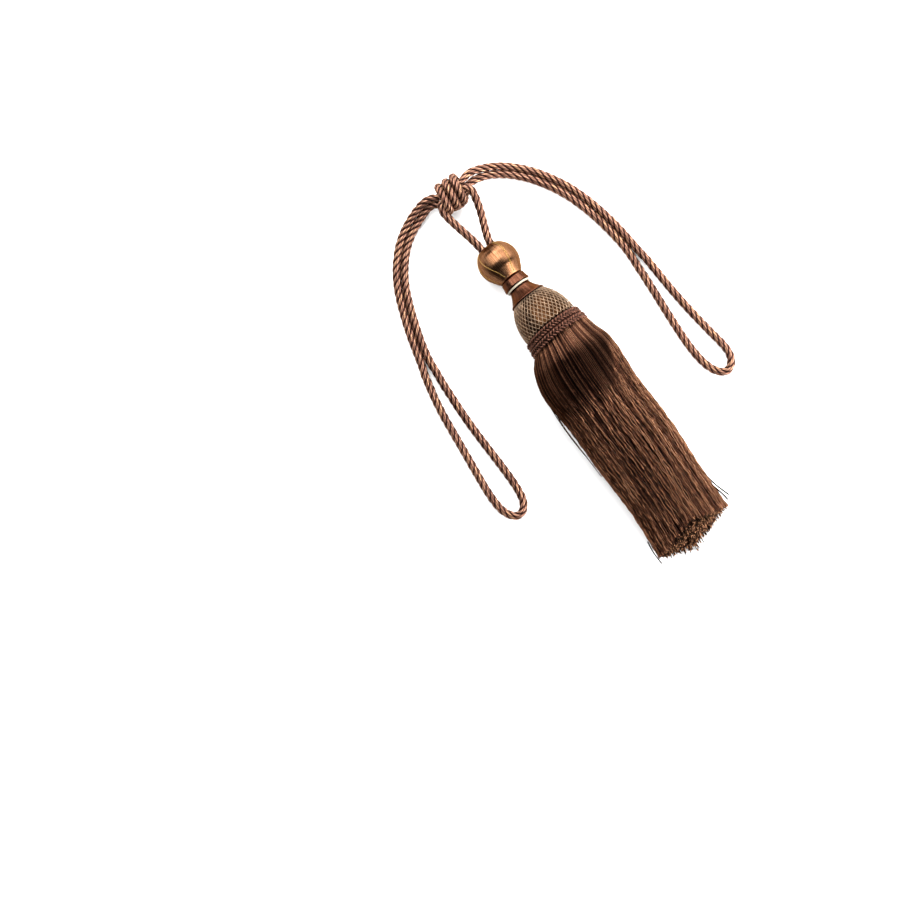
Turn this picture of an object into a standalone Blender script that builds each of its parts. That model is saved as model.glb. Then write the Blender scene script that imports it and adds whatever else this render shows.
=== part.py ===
"""Curtain tieback tassel, lying as it was put down on a flat surface.

The surface is z = 0. The tassel lies along -Y, its skirt flat on the surface, and the knot is at its +Y end.
From the knot the two ropes of the embrace run out to a loop on the -X side and a loop on the +X side.
Tables are in millimetres, measured from the middle of the knot, and MM turns them into metres.
"""
import math
import random
from collections import namedtuple

import bmesh
import bpy
import numpy as np
from mathutils import Euler, Matrix, Vector

MM = 0.001
KNOT_AT = Vector((-3.4, 169.3, 0.0)) * MM  # the knot's middle, seen from the part's origin

# rope: four strands laid up right-handed
ROPE_RADIUS = 3.6 * MM
ROPE_GROOVE_RADIUS = 2.85 * MM
ROPE_STRANDS = 4
ROPE_LAY = 26.0 * MM
ROPE_STEP_TURN = math.radians(57.0)  # turn of the outline from one step to the next
ROPE_STEP = ROPE_LAY * ROPE_STEP_TURN / math.tau
GAP = 0.3 * MM

# knot: a barrel of rope turns, which squeezes the three ropes inside it
SQUEEZED = 0.86  # share of the rope's radius that is left inside the knot
KNOT_TURNS = 3.0
KNOT_PITCH = 7.2 * MM
KNOT_ROPE_RADIUS = 3.45 * MM
KNOT_START_X = -10.4 * MM
KNOT_AXIS_Y = 1.0 * MM
BUNDLE_RADIUS = (2.0 * ROPE_RADIUS * SQUEEZED + GAP) / math.sqrt(3.0)
KNOT_RADIUS = BUNDLE_RADIUS + ROPE_RADIUS * SQUEEZED + GAP + KNOT_ROPE_RADIUS
KNOT_AXIS_Z = KNOT_RADIUS + KNOT_ROPE_RADIUS + 0.05 * MM
KNOT_HALF_LENGTH = 0.5 * KNOT_TURNS * KNOT_PITCH
EMBRACE_SWELL = 8.6 * MM  # length over which a squeezed rope gets its full radius back
HANGER_SWELL = 4.0 * MM
HANGER_INSIDE_X = 9.0 * MM  # the hanger is squeezed between these places
HANGER_INSIDE_Y = 1.0 * MM

# head: every piece is turned about one axis, which rises towards the skirt
BALL_AT = Vector((-1.2, -68.0, 18.1)) * MM
HEAD_RISE = math.radians(10.0)
HEAD_TURN = math.radians(4.46)
BALL_RADIUS = 17.8 * MM
BALL_HOLE_RADIUS = 8.8 * MM
BALL_HOLE_FLOOR = 12.0 * MM  # height of the hole's floor over the ball's middle
LEG_OFFSET = 4.6 * MM  # each hanger leg's distance from the axis, in the hole

# skirt: a backing at the ruff, and three layers of strands fused into it
SKIRT_TOP = -84.3 * MM  # height of the backing's upper face over the ball's middle
SKIRT_RADIUS = 27.0 * MM
BACKING_RADIUS = 25.4 * MM
BACKING_LENGTH = 9.0 * MM
ROOT_DEPTH = 0.4 * MM  # how far below the backing's upper face the strands begin
STRAND_GAP_SHARE = 0.18
FLAT_UNDERSIDE = 1.25  # above 1, the lower half of a section is flat in its middle
WIDEST_SHARE = 0.42  # height of a section's widest place, as a share of its own height
SWAY = 0.012
HEM_JITTER = 1.8 * MM

Section = namedtuple("Section", "centre side up down flat")
Station = namedtuple("Station", "y centre_x half_width top bottom")
Layer = namedtuple("Layer", "strands inner outer stations")

STATIONS = [
    Station(y=-163.0, centre_x=3.7, half_width=34.2, top=66.0, bottom=2.0),
    Station(y=-185.0, centre_x=3.1, half_width=37.5, top=64.3, bottom=0.0),
    Station(y=-212.0, centre_x=3.6, half_width=36.5, top=58.4, bottom=0.0),
    Station(y=-268.0, centre_x=4.6, half_width=36.7, top=45.8, bottom=0.0),
    Station(y=-345.0, centre_x=4.1, half_width=37.0, top=37.0, bottom=0.0),
]
LAYERS = [
    Layer(strands=90, inner=0.86, outer=1.0, stations=(0, 1, 2, 3, 4, 5)),
    Layer(strands=38, inner=0.55, outer=0.83, stations=(0, 2, 3, 5)),
    Layer(strands=16, inner=0.17, outer=0.52, stations=(0, 2, 3, 5)),
]

# routes of the free ropes, each from the knot round a loop and back into the knot
REST = 3.7  # height of a rope's middle where it lies on the surface
LEFT_LOOP = [
    (-0.2, 4.6, 14.1), (-8.5, 4.6, 14.1), (-13.0, 5.7, 13.6), (-20.0, 8.7, 11.8), (-39.4, 4.2, 5.8),
    (-58.3, -6.8, 3.7), (-77.7, -29.3, REST), (-89.5, -55.2, REST), (-97.9, -82.6, REST), (-104.6, -110.0, REST),
    (-110.0, -138.0, REST), (-113.0, -170.0, REST), (-116.2, -208.0, REST), (-116.8, -230.0, REST),
    (-113.6, -243.4, REST), (-106.0, -249.4, REST), (-98.4, -244.2, REST), (-95.2, -231.0, REST),
    (-95.2, -208.0, REST), (-96.9, -170.0, REST), (-96.7, -138.0, REST), (-95.0, -110.0, REST),
    (-90.6, -84.4, REST), (-82.5, -57.8, REST), (-71.3, -33.3, REST), (-53.7, -12.8, REST), (-36.2, -2.8, 4.6),
    (-20.0, 2.0, 7.4), (-13.0, -0.3, 10.2), (-8.5, -0.8, 10.9), (-0.2, -0.8, 10.9),
]
RIGHT_LOOP = [
    (0.2, 4.6, 14.1), (8.5, 4.6, 14.1), (13.0, 5.3, 13.7), (20.0, 7.4, 11.8), (41.9, 0.0, 5.4),
    (62.6, -17.6, REST), (73.0, -31.5, REST), (82.3, -47.7, REST), (91.6, -73.4, REST), (98.1, -105.0, REST),
    (101.5, -135.0, REST), (103.7, -163.0, REST), (107.0, -192.0, REST), (111.2, -218.0, REST),
    (113.5, -233.0, REST), (111.2, -244.4, REST), (103.2, -249.4, REST), (95.2, -242.8, REST),
    (90.8, -229.0, REST), (89.4, -208.0, REST), (90.8, -170.0, REST), (92.0, -135.0, REST), (90.5, -105.0, REST),
    (84.4, -75.6, REST), (75.7, -51.3, REST), (67.0, -36.0, REST), (57.4, -23.0, REST), (38.1, -6.5, 4.8),
    (20.0, -0.6, 8.2), (13.0, -0.8, 10.2), (8.5, -0.8, 10.9), (0.2, -0.8, 10.9),
]
# the hanger's middle, from the left leg over the knot's inside to the right leg
HANGER_MIDDLE = [
    (-6.9, -50.0, 15.0), (-8.5, -40.0, 14.9), (-12.2, -25.0, 16.0), (-15.0, -10.0, 17.9), (-14.2, -4.2, 18.0),
    (-11.4, -1.3, 17.6), (-7.0, -0.8, 17.3), (0.0, -0.8, 17.3), (7.0, -0.8, 17.3), (11.4, -1.3, 17.6),
    (14.0, -4.4, 18.0), (14.2, -10.0, 17.8), (10.5, -25.0, 16.0), (5.0, -40.0, 14.9), (2.3, -50.0, 15.0),
]


def clear_scene():
    """Start from an empty scene."""
    for thing in list(bpy.data.objects):
        bpy.data.objects.remove(thing, do_unlink=True)


def new_collection(name):
    """A collection linked to the scene."""
    collection = bpy.data.collections.new(name)
    bpy.context.scene.collection.children.link(collection)
    return collection


def cloth_material(name, colour, roughness):
    """A plain Principled material for one kind of yarn."""
    material = bpy.data.materials.new(name)
    material.use_nodes = True
    shader = material.node_tree.nodes["Principled BSDF"]
    shader.inputs["Base Color"].default_value = (*colour, 1.0)
    shader.inputs["Roughness"].default_value = roughness
    shader.inputs["Metallic"].default_value = 0.0
    return material


def add_object(name, data, collection, material=None):
    """Link an object made from data, with its material."""
    thing = bpy.data.objects.new(name, data)
    collection.objects.link(thing)
    if material:
        data.materials.append(material)
    return thing


def make_guide(thing):
    """Show a guide or cutter as wires, and keep it out of the finished part."""
    thing.hide_render = True
    thing.display_type = "WIRE"
    return thing


def smooth_route(route, step):
    """Points about one step apart on a cubic spline through the route's own points."""
    points = np.array(route, dtype=float)
    chords = np.linalg.norm(np.diff(points, axis=0), axis=1)
    marks = np.concatenate(([0.0], np.cumsum(np.sqrt(chords))))
    spans = np.diff(marks)
    slopes = np.diff(points, axis=0) / spans[:, None]
    system = np.eye(len(points))
    bends = np.zeros_like(points)
    for index in range(1, len(points) - 1):
        before, after = spans[index - 1], spans[index]
        system[index, index - 1:index + 2] = (before, 2.0 * (before + after), after)
        bends[index] = 6.0 * (slopes[index] - slopes[index - 1])
    bends = np.linalg.solve(system, bends)
    fine = []
    for index, span in enumerate(spans):
        for share in np.linspace(0.0, 1.0, 40, endpoint=False):
            back = 1.0 - share
            straight = back * points[index] + share * points[index + 1]
            curve = (back ** 3 - back) * bends[index] + (share ** 3 - share) * bends[index + 1]
            fine.append(straight + curve * span * span / 6.0)
    fine.append(points[-1])
    fine = np.array(fine)
    along = np.concatenate(([0.0], np.cumsum(np.linalg.norm(np.diff(fine, axis=0), axis=1))))
    count = max(2, round(along[-1] / step) + 1)
    wanted = np.linspace(0.0, along[-1], count)
    return [Vector(place) for place in zip(*(np.interp(wanted, along, fine[:, axis]) for axis in range(3)))]


def rope_outline(name, radius, groove_radius, collection):
    """A guide outline across the rope: a crown and a groove for each strand."""
    curve = bpy.data.curves.new(name, "CURVE")
    curve.dimensions = "2D"
    spline = curve.splines.new("POLY")
    count = 2 * ROPE_STRANDS
    spline.points.add(count - 1)
    for index, point in enumerate(spline.points):
        reach = radius if index % 2 == 0 else groove_radius
        angle = -math.tau * index / count
        point.co = (reach * math.cos(angle), reach * math.sin(angle), 0.0, 1.0)
    spline.use_cyclic_u = True
    return make_guide(add_object(name, curve, collection))


def twisted_rope(name, places, outline, collection, material, share_at=None):
    """A rope through places: the outline is carried along and turned once in each lay."""
    curve = bpy.data.curves.new(name, "CURVE")
    curve.dimensions = "3D"
    curve.twist_mode = "MINIMUM"
    curve.bevel_mode = "OBJECT"
    curve.bevel_object = outline
    curve.use_fill_caps = True
    spline = curve.splines.new("POLY")
    spline.points.add(len(places) - 1)
    travelled = 0.0
    for index, point in enumerate(spline.points):
        if index:
            travelled += (places[index] - places[index - 1]).length
        point.co = (*places[index], 1.0)
        point.tilt = math.tau * travelled / ROPE_LAY
        point.radius = share_at(places[index]) if share_at else 1.0
    thing = add_object(name, curve, collection, material)
    thing.location = KNOT_AT
    return thing


def swelling(distance, length):
    """Share of the full radius that a squeezed rope has at this distance outside the knot."""
    share = min(1.0, max(0.0, distance / length))
    return SQUEEZED + (1.0 - SQUEEZED) * share


def embrace_share(place):
    """The embrace swells to its full radius on each side of the knot."""
    return swelling(abs(place.x) - KNOT_HALF_LENGTH, EMBRACE_SWELL)


def hanger_share(place):
    """The hanger swells as it leaves the knot, at its ends and then down its legs."""
    sideways = swelling(abs(place.x) - HANGER_INSIDE_X, HANGER_SWELL)
    downwards = swelling(-place.y - HANGER_INSIDE_Y, HANGER_SWELL)
    return max(sideways, downwards)


def head_matrix():
    """The head's frame: +Z runs up its axis to the hanger, +X is its right side."""
    turned = Euler((-math.pi / 2.0 - HEAD_RISE, 0.0, HEAD_TURN)).to_matrix().to_4x4()
    return Matrix.Translation(BALL_AT) @ turned


def hanger_route():
    """The hanger's route: out of the ball's hole, through the knot, and back into the hole."""
    frame = head_matrix()
    height = BALL_HOLE_FLOOR + GAP
    left = frame @ Vector((-LEG_OFFSET, 0.0, height))
    right = frame @ Vector((LEG_OFFSET, 0.0, height))
    middle = [Vector(place) * MM for place in HANGER_MIDDLE]
    return [left] + middle + [right]


def knot_route():
    """Turns of rope side by side round the bundle, beginning and ending under it."""
    steps = round(KNOT_TURNS * math.tau * KNOT_RADIUS / ROPE_STEP)
    places = []
    for index in range(steps + 1):
        turns = KNOT_TURNS * index / steps
        angle = -math.pi / 2.0 - math.tau * turns
        x = KNOT_START_X + KNOT_PITCH * turns
        y = KNOT_AXIS_Y + KNOT_RADIUS * math.cos(angle)
        z = KNOT_AXIS_Z + KNOT_RADIUS * math.sin(angle)
        places.append(Vector((x, y, z)))
    return places


def profile_mesh(name, profile):
    """An open line of points (radius, height) from the top of the axis to its bottom."""
    mesh = bpy.data.meshes.new(name)
    bm = bmesh.new()
    verts = [bm.verts.new((radius, 0.0, height)) for radius, height in profile]
    for upper, lower in zip(verts, verts[1:]):
        bm.edges.new((upper, lower))
    bm.to_mesh(mesh)
    bm.free()
    return mesh


def turned_piece(name, profile, steps, collection, material, head):
    """A piece turned about the head's axis."""
    thing = add_object(name, profile_mesh(name, profile), collection, material)
    thing.parent = head
    screw = thing.modifiers.new("turn", "SCREW")
    screw.axis = "Z"
    screw.steps = steps
    screw.render_steps = steps
    screw.use_merge_vertices = True
    screw.merge_threshold = 0.01 * MM
    screw.use_smooth_shade = True
    return thing


def ball_profile():
    """A ball with a flat-floored hole for the hanger, drawn in to the collar below."""
    first = math.asin(BALL_HOLE_RADIUS / BALL_RADIUS)
    last = math.radians(122.0)
    profile = [(0.0, BALL_HOLE_FLOOR), (BALL_HOLE_RADIUS, BALL_HOLE_FLOOR)]
    arc_steps = 8
    for index in range(arc_steps + 1):
        angle = first + (last - first) * index / arc_steps
        profile.append((BALL_RADIUS * math.sin(angle), BALL_RADIUS * math.cos(angle)))
    profile += [(12.6 * MM, -13.9 * MM), (10.2 * MM, -17.5 * MM), (0.0, -17.5 * MM)]
    return profile


def scaled(profile):
    """A profile given in millimetres, in metres."""
    return [(radius * MM, height * MM) for radius, height in profile]


def make_head(collection, head):
    """The wound pieces between the hanger and the ruff, in order down the axis."""
    copper = cloth_material("ball_satin", (0.50, 0.27, 0.14), 0.35)
    brown = cloth_material("collar_satin", (0.17, 0.065, 0.035), 0.4)
    cream = cloth_material("cream_cord", (0.80, 0.72, 0.55), 0.6)
    net = cloth_material("net_over_satin", (0.40, 0.29, 0.19), 0.6)
    turned_piece("ball", ball_profile(), 30, collection, copper, head)
    upper = scaled([(0, -17.8), (10.4, -17.8), (11.1, -18.7), (11.4, -21.5), (12.1, -24.4), (11.6, -25.2), (0, -25.2)])
    turned_piece("upper_collar", upper, 32, collection, brown, head)
    thin = scaled([(0, -25.5), (10.3, -25.5), (10.9, -26.0), (10.9, -26.9), (10.3, -27.4), (0, -27.4)])
    turned_piece("cream_ring", thin, 32, collection, cream, head)
    lower = scaled([(0, -27.7), (9.5, -27.7), (10.3, -30.0), (12.3, -33.3), (14.6, -36.6), (16.5, -38.6),
                    (16.4, -39.3), (0, -39.3)])
    turned_piece("lower_collar", lower, 32, collection, brown, head)
    egg = scaled([(0, -39.6), (15.6, -39.6), (18.9, -43.6), (21.3, -48.5), (23.2, -53.8), (24.3, -59.0),
                  (24.7, -64.0), (24.6, -69.5), (0, -69.5)])
    turned_piece("egg", egg, 40, collection, net, head)


def make_ruff(collection, head):
    """Two braided gimp rows under the egg, their slanting stitches raised as a herringbone."""
    material = cloth_material("ruff_gimp", (0.13, 0.055, 0.045), 0.6)
    stitches = 36
    stitch_height = 0.45 * MM
    # rows: radius, height, slant of the raised stitches (0 is a plain edge)
    rows = [(0.0, -69.8, 0), (24.6, -69.8, 0), (25.9, -71.0, 1), (26.6, -73.2, -1), (26.3, -75.4, 1),
            (25.5, -76.6, 0), (26.7, -77.8, 1), (27.6, -80.2, -1), (27.5, -82.6, 1), (26.9, -84.0, 0),
            (0.0, -84.0, 0)]
    segments = 2 * stitches
    bm = bmesh.new()
    verts = [bm.verts.new((radius * MM, 0.0, height * MM)) for radius, height, slant in rows]
    edges = [bm.edges.new(pair) for pair in zip(verts, verts[1:])]
    bmesh.ops.spin(bm, geom=verts + edges, axis=(0, 0, 1), cent=(0, 0, 0), angle=math.tau,
                   steps=segments, use_merge=True)
    bmesh.ops.remove_doubles(bm, verts=bm.verts, dist=0.01 * MM)
    slants = {round(height, 1): slant for radius, height, slant in rows if slant}
    for vert in bm.verts:
        slant = slants.get(round(vert.co.z / MM, 1), 0)
        if slant:
            angle = math.atan2(vert.co.y, vert.co.x)
            wave = slant * math.cos(stitches * angle) * stitch_height
            outward = Vector((math.cos(angle), math.sin(angle), 0.0))
            vert.co += outward * wave
    bmesh.ops.recalc_face_normals(bm, faces=bm.faces)
    mesh = bpy.data.meshes.new("ruff")
    bm.to_mesh(mesh)
    bm.free()
    add_object("ruff", mesh, collection, material).parent = head


def skirt_sections():
    """The skirt's cross-sections: a tilted circle at the ruff, then the table's flat-bottomed ones."""
    frame = head_matrix()
    turn = frame.to_3x3()
    root = Section(centre=frame @ Vector((0.0, 0.0, SKIRT_TOP - ROOT_DEPTH)),
                   side=turn @ Vector((SKIRT_RADIUS, 0.0, 0.0)),
                   up=turn @ Vector((0.0, -SKIRT_RADIUS, 0.0)),
                   down=turn @ Vector((0.0, SKIRT_RADIUS, 0.0)), flat=1.0)
    sections = [root]
    for station in STATIONS:
        widest = station.bottom + WIDEST_SHARE * (station.top - station.bottom)
        sections.append(Section(centre=Vector((station.centre_x, station.y, widest)) * MM,
                                side=Vector((station.half_width * MM, 0.0, 0.0)),
                                up=Vector((0.0, 0.0, (station.top - widest) * MM)),
                                down=Vector((0.0, 0.0, (station.bottom - widest) * MM)),
                                flat=FLAT_UNDERSIDE))
    return sections


def skirt_place(section, angle, ring):
    """A place in a section: angle runs round it, and ring from 0 at its middle to 1 at its surface."""
    across = section.side * (ring * math.cos(angle))
    height = math.sin(angle)
    if height >= 0.0:
        return section.centre + across + section.up * (ring * height)
    return section.centre + across + section.down * (ring * min(1.0, -height * section.flat))


def hem_end(place, jitter):
    """How far along -Y a strand reaches: the lowest ones lie longest, with a point near the middle."""
    x = place.x / MM
    top_share = min(1.0, place.z / (STATIONS[-1].top * MM))
    lowest = -354.0 + 0.33 * abs(x + 2.0)
    highest = -335.0 - 0.27 * abs(x - 8.0)
    return (lowest + (highest - lowest) * top_share) * MM + jitter


def loft(bm, rings):
    """A closed bar through rings of points."""
    loops = [[bm.verts.new(place) for place in ring] for ring in rings]
    count = len(loops[0])
    for near, far in zip(loops, loops[1:]):
        for index in range(count):
            after = (index + 1) % count
            bm.faces.new((near[index], near[after], far[after], far[index]))
    bm.faces.new(reversed(loops[0]))
    bm.faces.new(loops[-1])


def strand_rings(layer, number, sections, jitter):
    """The four-sided rings of one strand, from its root to the hem."""
    pitch = math.tau / layer.strands
    middle = pitch * number
    half = 0.5 * pitch * (1.0 - STRAND_GAP_SHARE)
    corners = [(layer.inner, -half), (layer.outer, -half), (layer.outer, half), (layer.inner, half)]
    rings = []
    for index in layer.stations:
        ring = []
        for reach, offset in corners:
            angle = middle + offset
            angle += SWAY * index * math.sin(3.0 * angle + 1.1 * index)
            ring.append(skirt_place(sections[index], angle, reach))
        rings.append(ring)
    centre = sum(rings[-1], Vector()) / len(corners)
    for place in rings[-1]:
        place.y = hem_end(centre, jitter)
    return rings


def make_skirt(collection, guides, head):
    """The skirt: a short turned backing joined to three layers of separate strands."""
    material = cloth_material("skirt_yarn", (0.16, 0.075, 0.04), 0.5)
    rng = random.Random(7)
    sections = skirt_sections()
    bm = bmesh.new()
    for layer in LAYERS:
        for number in range(layer.strands):
            loft(bm, strand_rings(layer, number, sections, rng.uniform(-1.0, 1.0) * HEM_JITTER))
    bmesh.ops.recalc_face_normals(bm, faces=bm.faces)
    strands = bpy.data.meshes.new("skirt_strands")
    bm.to_mesh(strands)
    bm.free()
    strands = make_guide(add_object("skirt_strands", strands, guides))
    strands.location = KNOT_AT
    floor = SKIRT_TOP - BACKING_LENGTH
    profile = [(0.0, SKIRT_TOP), (BACKING_RADIUS, SKIRT_TOP), (BACKING_RADIUS, floor), (0.0, floor)]
    skirt = turned_piece("skirt", profile, 24, collection, material, head)
    join = skirt.modifiers.new("join_strands", "BOOLEAN")
    join.operation = "UNION"
    join.object = strands
    return skirt


def make_ropes(collection, guides):
    """The knot, the hanger that ties the head to it, and the embrace's two loops."""
    rope = cloth_material("rope_yarn", (0.40, 0.24, 0.19), 0.5)
    full = rope_outline("rope_outline", ROPE_RADIUS, ROPE_GROOVE_RADIUS, guides)
    tight_groove = ROPE_GROOVE_RADIUS * KNOT_ROPE_RADIUS / ROPE_RADIUS
    tight = rope_outline("knot_rope_outline", KNOT_ROPE_RADIUS, tight_groove, guides)
    twisted_rope("knot", knot_route(), tight, collection, rope)
    hanger = smooth_route([tuple(place) for place in hanger_route()], ROPE_STEP)
    twisted_rope("hanger_cord", hanger, full, collection, rope, hanger_share)
    for name, route in (("embrace_left", LEFT_LOOP), ("embrace_right", RIGHT_LOOP)):
        places = smooth_route([tuple(Vector(place) * MM) for place in route], ROPE_STEP)
        twisted_rope(name, places, full, collection, rope, embrace_share)


def main():
    clear_scene()
    collection = new_collection("curtain_tieback_tassel")
    guides = new_collection("guides")
    head = bpy.data.objects.new("head_axis", None)
    collection.objects.link(head)
    head.matrix_world = Matrix.Translation(KNOT_AT) @ head_matrix()
    make_ropes(collection, guides)
    make_head(collection, head)
    make_ruff(collection, head)
    make_skirt(collection, guides, head)


main()
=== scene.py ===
# %% [markdown]
# # A curtain tieback with a long tassel
#
# A tieback is a rope that goes round a curtain and hooks on the wall at each side. This one carries a big
# tassel: a knot gathers the rope, a short hanger runs down from the knot into a wound head, and a skirt of
# some thousands of cut threads hangs from the head. Here it lies flat, and the camera looks straight down.
#
# Almost everything on it is thread, so almost every step below is a way to lay many thin tubes side by side:
# four twisted strands make a rope, a few hundred threads wound from pole to pole make satin, two families
# of spirals make a net, and three strands that dodge each other make a braid.
#
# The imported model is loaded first. Each of its solids is then stood for by a piece with the real surface.

import math

import bmesh
import bpy
import numpy as np
from mathutils import Euler, Matrix, Vector


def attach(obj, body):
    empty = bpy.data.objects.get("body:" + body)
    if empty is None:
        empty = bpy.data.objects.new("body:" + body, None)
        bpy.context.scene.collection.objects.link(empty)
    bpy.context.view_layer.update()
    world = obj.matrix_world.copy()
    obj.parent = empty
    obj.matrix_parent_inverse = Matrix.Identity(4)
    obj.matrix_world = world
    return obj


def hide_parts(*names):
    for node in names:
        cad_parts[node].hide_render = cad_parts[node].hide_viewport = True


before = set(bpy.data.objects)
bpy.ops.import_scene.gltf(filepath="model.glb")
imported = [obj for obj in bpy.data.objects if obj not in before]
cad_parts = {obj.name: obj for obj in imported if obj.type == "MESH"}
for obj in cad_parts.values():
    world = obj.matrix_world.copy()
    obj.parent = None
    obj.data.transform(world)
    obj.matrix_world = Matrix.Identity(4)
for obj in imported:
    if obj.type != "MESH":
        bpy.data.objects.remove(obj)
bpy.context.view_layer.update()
print("solids:", ", ".join(sorted(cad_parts)))

# %% [markdown]
# ## Where things are
#
# All tables are in millimetres and measured from the middle of the knot, because that is where a maker
# would start. The tassel lies along -Y and +Z is up. Two small helpers turn such places into metres in the
# model's own frame, and a third adds an object to the scene.

# %% Millimetres from the knot
MM = 0.001
KNOT_AT = Vector((-3.4, 169.3, 0.0)) * MM
LYING = 3.7  # the height of the rope's middle where it lies on the table


def place(x, y, z=LYING):
    """A place in millimetres from the knot, as a vector in the model's frame."""
    return KNOT_AT + Vector((x, y, z)) * MM


def route_places(table):
    """A whole table of places; a row without a height lies on the table."""
    return [place(*row) for row in table]


def add_object(name, data):
    """A new object in the scene."""
    item = bpy.data.objects.new(name, data)
    bpy.context.scene.collection.objects.link(item)
    return item


# %% [markdown]
# ## The camera
#
# A long lens from high above keeps the tassel's proportions, as in a catalogue picture taken over a table.
# The picture is square. Its middle and its turn are set so that the knot is at the top and the tassel hangs
# down to the right. The camera comes before the pieces, because the ropes have to lie inside its view.

# %% Camera
VIEW_WIDTH = 0.747
CAMERA_HEIGHT = 5.0
VIEW_TURN = math.radians(34.8)
VIEW_MIDDLE = place(-122.8, -172.4, 0.0)

camera_data = bpy.data.cameras.new("camera")
camera_data.lens = camera_data.sensor_width * CAMERA_HEIGHT / VIEW_WIDTH
camera_data.clip_end = 4.0 * CAMERA_HEIGHT
camera = add_object("camera", camera_data)
camera.location = VIEW_MIDDLE + Vector((0.0, 0.0, CAMERA_HEIGHT))
camera.rotation_euler = (0.0, 0.0, -VIEW_TURN)
bpy.context.scene.camera = camera
print("lens", round(camera_data.lens), "mm at", CAMERA_HEIGHT, "m")

# %% [markdown]
# ## Small tools for shader nodes
#
# Every finish below is a Principled shader whose colour, roughness and bump come from a few nodes. These
# helpers keep each recipe short: one makes the material, one adds a node with its settings, one makes a
# colour ramp from a short table, and one reads the numbers that a mesh carries at its points.

# %% Shader helpers
EDGE_TINT = (0.60, 0.50, 0.44, 1.0)  # shiny fibre stays brown where it is seen at a low angle


def new_finish(name, roughness, specular=0.5, metallic=0.0):
    """A material with its Principled shader, ready for more nodes."""
    material = bpy.data.materials.new(name)
    material.use_nodes = True
    shader = material.node_tree.nodes["Principled BSDF"]
    shader.inputs["Roughness"].default_value = roughness
    shader.inputs["Specular IOR Level"].default_value = specular
    shader.inputs["Specular Tint"].default_value = EDGE_TINT
    shader.inputs["Metallic"].default_value = metallic
    return material, shader


def add_node(material, kind, inputs, **settings):
    """A new node with its settings; each input is a value, or the socket that feeds it."""
    tree = material.node_tree
    node = tree.nodes.new(kind)
    for key, value in settings.items():
        setattr(node, key, value)
    for socket, value in inputs.items():
        if isinstance(value, bpy.types.NodeSocket):
            tree.links.new(value, node.inputs[socket])
        else:
            node.inputs[socket].default_value = value
    return node


def add_ramp(material, factor, stops):
    """A colour ramp: stops are (position, red, green, blue)."""
    node = add_node(material, "ShaderNodeValToRGB", {"Fac": factor})
    ramp = node.color_ramp
    while len(ramp.elements) < len(stops):
        ramp.elements.new(1.0)
    for element, (position, red, green, blue) in zip(ramp.elements, stops):
        element.position = position
        element.color = (red, green, blue, 1.0)
    return node.outputs["Color"]


def read_attribute(material, name, output="Fac"):
    """What each point of the mesh carries under this name: a number, or with "Vector" three of them."""
    return add_node(material, "ShaderNodeAttribute", {}, attribute_name=name).outputs[output]


def connect(shader, socket, source):
    """Feed one of the shader's own sockets."""
    shader.id_data.links.new(source, shader.inputs[socket])


# %% [markdown]
# ## From lines to thread
#
# A thread, a yarn and a strand of rope are all the same thing to Blender: a line with an outline carried
# along it. A curve object does that well, because it carries the outline without twisting it and then adds
# any twist that is asked for. The outline is a small curve of its own, round or with a bump for each yarn.
# The curve is then made a mesh, its open ends are filled, and each point is given a number or two (how high
# it is on a ridge, which yarn it belongs to) for the finish to read.

# %% Outlines and tubes


def outline_curve(name, spots):
    """A closed flat outline through these spots, to be carried along a line."""
    curve = bpy.data.curves.new(name, "CURVE")
    curve.dimensions = "2D"
    spline = curve.splines.new("POLY")
    spline.points.add(len(spots) - 1)
    for point, (x, y) in zip(spline.points, spots):
        point.co = (x, y, 0.0, 1.0)
    spline.use_cyclic_u = True
    outline = add_object(name, curve)
    outline.hide_render = True
    return outline


def round_spots(count, across, deep=None, groove=0.0):
    """Spots round an oval; with a groove, every second one is drawn in by that share."""
    deep = across if deep is None else deep
    angles = [-math.tau * index / count for index in range(count)]
    shares = [1.0 - groove * (index % 2) for index in range(count)]
    return [(across * share * math.cos(a), deep * share * math.sin(a)) for a, share in zip(angles, shares)]


def tube_mesh(name, lines, outline, sizes=None, turns=None, closed=False):
    """One mesh of tubes: the outline is carried along each line, grown and turned as asked."""
    curve = bpy.data.curves.new(name, "CURVE")
    curve.dimensions = "3D"
    curve.twist_mode = "MINIMUM"
    curve.bevel_mode = "OBJECT"
    curve.bevel_object = outline
    for number, line in enumerate(lines):
        spline = curve.splines.new("POLY")
        spline.points.add(len(line) - 1)
        spline.points.foreach_set("co", np.insert(line, 3, 1.0, axis=1).ravel())
        if sizes is not None:
            spline.points.foreach_set("radius", np.asarray(sizes[number], dtype=float))
        if turns is not None:
            spline.points.foreach_set("tilt", np.asarray(turns[number], dtype=float))
        spline.use_cyclic_u = closed
    holder = add_object(name, curve)
    finished = holder.evaluated_get(bpy.context.evaluated_depsgraph_get())
    mesh = bpy.data.meshes.new_from_object(finished)
    bpy.data.objects.remove(holder)
    bpy.data.curves.remove(curve)
    mesh.name = name
    return mesh


# %% Numbers at the points


def read_spots(mesh):
    """All of a mesh's points as an array."""
    spots = np.empty(len(mesh.vertices) * 3, np.float32)
    mesh.vertices.foreach_get("co", spots)
    return spots.reshape(-1, 3)


def set_number(mesh, name, values):
    """A number for each point, which a finish reads by name."""
    attribute = mesh.attributes.new(name, "FLOAT", "POINT")
    attribute.data.foreach_set("value", np.asarray(values, dtype=np.float32).ravel())


def set_vector(mesh, name, values):
    """Three numbers for each point."""
    attribute = mesh.attributes.new(name, "FLOAT_VECTOR", "POINT")
    attribute.data.foreach_set("vector", np.asarray(values, dtype=np.float32).ravel())


# %% From mesh to piece


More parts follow.
